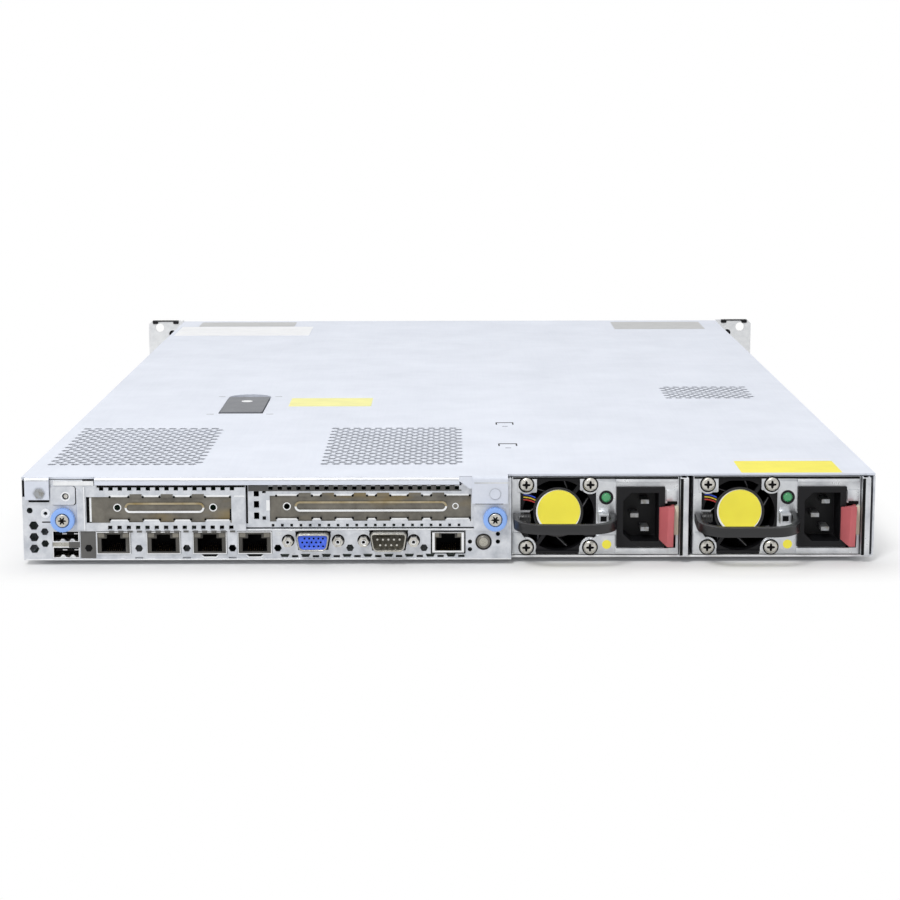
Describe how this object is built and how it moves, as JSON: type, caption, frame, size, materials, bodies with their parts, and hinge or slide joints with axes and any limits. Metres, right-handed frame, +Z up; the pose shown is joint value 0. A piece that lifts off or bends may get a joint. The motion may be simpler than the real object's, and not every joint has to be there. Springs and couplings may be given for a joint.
{
  "type": "rack server",
  "caption": "Flat one-unit rack server with sliding perforated cover, rear connectors, expansion slots, pull-out power supplies with loop handles, hot-plug drives and rack ears.",
  "frame": {"origin": "middle of the chassis underside, half way between the rear panel and the front edge of the chassis", "axes": "+X to the right seen from behind, +Y from the rear panel to the front, +Z up"},
  "size_m": [0.4826, 0.7209, 0.0432],
  "materials": {
    "zinc_sheet": "bright zinc-plated sheet",
    "dull_plate": "dull plated sheet",
    "connector_shell": "plated shell",
    "screw_steel": "bright plated",
    "black_plastic": "fine textured",
    "grey_plastic": "fine textured",
    "blue_plastic": "smooth",
    "red_plastic": "smooth",
    "green_lens": "clear tinted",
    "clear_button": "frosted",
    "circuit_board": "solder mask",
    "aluminium": "milled"
  },
  "bodies": {
    "chassis": {"chassis_tray": "zinc_sheet", "rear_io_panel": "zinc_sheet", "psu_bay_frame": "zinc_sheet", "front_top_plate": "zinc_sheet", "rack_ears": "zinc_sheet", "drive_cage": "zinc_sheet", "front_panel": "black_plastic", "riser_cage": "zinc_sheet", "slot_covers": "dull_plate", "usb_ports": "connector_shell", "network_jacks": "connector_shell", "video_port": "blue_plastic", "serial_port": "connector_shell", "system_board": "circuit_board", "board_components": "black_plastic", "plug_in_boards": "circuit_board", "cpu_heat_sinks": "aluminium", "fan_housings": "black_plastic"},
    "access_panel": {"access_panel": "zinc_sheet"},
    "latch_lever": {"latch_lever": "black_plastic"},
    "thumbscrew_left": {"thumbscrew_left": "blue_plastic"},
    "thumbscrew_right": {"thumbscrew_right": "blue_plastic"},
    "id_button": {"id_button": "clear_button"},
    "power_button": {"power_button": "clear_button"},
    "ear_lever_left": {"ear_lever_left": "black_plastic"},
    "ear_lever_right": {"ear_lever_right": "black_plastic"},
    "fan_rotor_1": {"fan_rotor_1": "black_plastic"},
    "fan_rotor_2": {"fan_rotor_2": "black_plastic"},
    "fan_rotor_3": {"fan_rotor_3": "black_plastic"},
    "fan_rotor_4": {"fan_rotor_4": "black_plastic"},
    "drive_1": {"drive_1": "grey_plastic"},
    "drive_lever_1": {"drive_lever_1": "grey_plastic"},
    "drive_2": {"drive_2": "grey_plastic"},
    "drive_lever_2": {"drive_lever_2": "grey_plastic"},
    "drive_3": {"drive_3": "grey_plastic"},
    "drive_lever_3": {"drive_lever_3": "grey_plastic"},
    "drive_4": {"drive_4": "grey_plastic"},
    "drive_lever_4": {"drive_lever_4": "grey_plastic"},
    "psu_1": {"psu_1_case": "zinc_sheet", "psu_1_face": "zinc_sheet", "psu_1_fan": "black_plastic", "psu_1_inlet": "black_plastic", "psu_1_blades": "screw_steel", "psu_1_screws": "screw_steel", "psu_1_lamp": "green_lens", "psu_1_board": "circuit_board"},
    "psu_1_rotor": {"psu_1_rotor": "black_plastic"},
    "psu_1_handle": {"psu_1_handle": "black_plastic"},
    "psu_1_latch": {"psu_1_latch": "red_plastic"},
    "psu_2": {"psu_2_case": "zinc_sheet", "psu_2_face": "zinc_sheet", "psu_2_fan": "black_plastic", "psu_2_inlet": "black_plastic", "psu_2_blades": "screw_steel", "psu_2_screws": "screw_steel", "psu_2_lamp": "green_lens", "psu_2_board": "circuit_board"},
    "psu_2_rotor": {"psu_2_rotor": "black_plastic"},
    "psu_2_handle": {"psu_2_handle": "black_plastic"},
    "psu_2_latch": {"psu_2_latch": "red_plastic"}
  },
  "joints": [
    {"name": "access_panel_slide", "type": "slide", "parent": "chassis", "child": "access_panel", "axis": [0, -1, 0], "range_m": [0, 0.012]},
    {"name": "latch_lift", "type": "hinge", "parent": "access_panel", "child": "latch_lever", "pos_m": [-0.1231, -0.134, 0.0396], "axis": [1, 0, 0], "range_deg": [0, 75]},
    {"name": "thumbscrew_left_turn", "type": "hinge", "parent": "chassis", "child": "thumbscrew_left", "pos_m": [-0.1925, -0.346, 0.0212], "axis": [0, 1, 0], "continuous": true},
    {"name": "thumbscrew_right_turn", "type": "hinge", "parent": "chassis", "child": "thumbscrew_right", "pos_m": [0.0228, -0.346, 0.0212], "axis": [0, 1, 0], "continuous": true},
    {"name": "id_button_press", "type": "slide", "parent": "chassis", "child": "id_button", "axis": [0, 1, 0], "range_m": [0, 0.0012], "stiffness_N_per_m": 800, "springref_m": -0.001},
    {"name": "power_button_press", "type": "slide", "parent": "chassis", "child": "power_button", "axis": [0, -1, 0], "range_m": [0, 0.0012], "stiffness_N_per_m": 800, "springref_m": -0.001},
    {"name": "ear_lever_left_tip", "type": "hinge", "parent": "chassis", "child": "ear_lever_left", "pos_m": [-0.2207, 0.3492, 0.011], "axis": [-1, 0, 0], "range_deg": [0, 30], "stiffness_Nm_per_rad": 0.2, "springref_deg": -8.59},
    {"name": "ear_lever_right_tip", "type": "hinge", "parent": "chassis", "child": "ear_lever_right", "pos_m": [0.2207, 0.3492, 0.011], "axis": [-1, 0, 0], "range_deg": [0, 30], "stiffness_Nm_per_rad": 0.2, "springref_deg": -8.59},
    {"name": "fan_1_spin", "type": "hinge", "parent": "chassis", "child": "fan_rotor_1", "pos_m": [-0.158, 0.169, 0.02], "axis": [0, 1, 0], "continuous": true},
    {"name": "fan_2_spin", "type": "hinge", "parent": "chassis", "child": "fan_rotor_2", "pos_m": [-0.106, 0.169, 0.02], "axis": [0, 1, 0], "continuous": true},
    {"name": "fan_3_spin", "type": "hinge", "parent": "chassis", "child": "fan_rotor_3", "pos_m": [-0.054, 0.169, 0.02], "axis": [0, 1, 0], "continuous": true},
    {"name": "fan_4_spin", "type": "hinge", "parent": "chassis", "child": "fan_rotor_4", "pos_m": [-0.002, 0.169, 0.02], "axis": [0, 1, 0], "continuous": true},
    {"name": "drive_1_slide", "type": "slide", "parent": "chassis", "child": "drive_1", "axis": [0, 1, 0], "range_m": [0, 0.14]},
    {"name": "drive_1_lever_swing", "type": "hinge", "parent": "drive_1", "child": "drive_lever_1", "pos_m": [0.1273, 0.3428, 0.0113], "axis": [0, 0, -1], "range_deg": [0, 45]},
    {"name": "drive_2_slide", "type": "slide", "parent": "chassis", "child": "drive_2", "axis": [0, 1, 0], "range_m": [0, 0.14]},
    {"name": "drive_2_lever_swing", "type": "hinge", "parent": "drive_2", "child": "drive_lever_2", "pos_m": [0.1273, 0.3428, 0.0311], "axis": [0, 0, -1], "range_deg": [0, 45]},
    {"name": "drive_3_slide", "type": "slide", "parent": "chassis", "child": "drive_3", "axis": [0, 1, 0], "range_m": [0, 0.14]},
    {"name": "drive_3_lever_swing", "type": "hinge", "parent": "drive_3", "child": "drive_lever_3", "pos_m": [0.2049, 0.3428, 0.0113], "axis": [0, 0, -1], "range_deg": [0, 45]},
    {"name": "drive_4_slide", "type": "slide", "parent": "chassis", "child": "drive_4", "axis": [0, 1, 0], "range_m": [0, 0.14]},
    {"name": "drive_4_lever_swing", "type": "hinge", "parent": "drive_4", "child": "drive_lever_4", "pos_m": [0.2049, 0.3428, 0.0311], "axis": [0, 0, -1], "range_deg": [0, 45]},
    {"name": "psu_1_slide", "type": "slide", "parent": "chassis", "child": "psu_1", "axis": [0, -1, 0], "range_m": [0, 0.2]},
    {"name": "psu_1_fan_spin", "type": "hinge", "parent": "psu_1", "child": "psu_1_rotor", "pos_m": [0.0545, -0.325, 0.0212], "axis": [0, 1, 0], "continuous": true},
    {"name": "psu_1_handle_swing", "type": "hinge", "parent": "psu_1", "child": "psu_1_handle", "pos_m": [0.0575, -0.3432, 0.0207], "axis": [-1, 0, 0], "range_deg": [-40, 60]},
    {"name": "psu_1_latch_press", "type": "hinge", "parent": "psu_1", "child": "psu_1_latch", "pos_m": [0.1117, -0.298, 0.0162], "axis": [0, 0, -1], "range_deg": [0, 3], "stiffness_Nm_per_rad": 2, "springref_deg": -2.86},
    {"name": "psu_2_slide", "type": "slide", "parent": "chassis", "child": "psu_2", "axis": [0, -1, 0], "range_m": [0, 0.2]},
    {"name": "psu_2_fan_spin", "type": "hinge", "parent": "psu_2", "child": "psu_2_rotor", "pos_m": [0.1453, -0.325, 0.0212], "axis": [0, 1, 0], "continuous": true},
    {"name": "psu_2_handle_swing", "type": "hinge", "parent": "psu_2", "child": "psu_2_handle", "pos_m": [0.1483, -0.3432, 0.0207], "axis": [-1, 0, 0], "range_deg": [-40, 60]},
    {"name": "psu_2_latch_press", "type": "hinge", "parent": "psu_2", "child": "psu_2_latch", "pos_m": [0.2025, -0.298, 0.0162], "axis": [0, 0, -1], "range_deg": [0, 3], "stiffness_Nm_per_rad": 2, "springref_deg": -2.86}
  ],
  "couplings": [
    {"joint": "latch_lift", "follows": "access_panel_slide", "rad_per_m": 109.08}
  ]
}
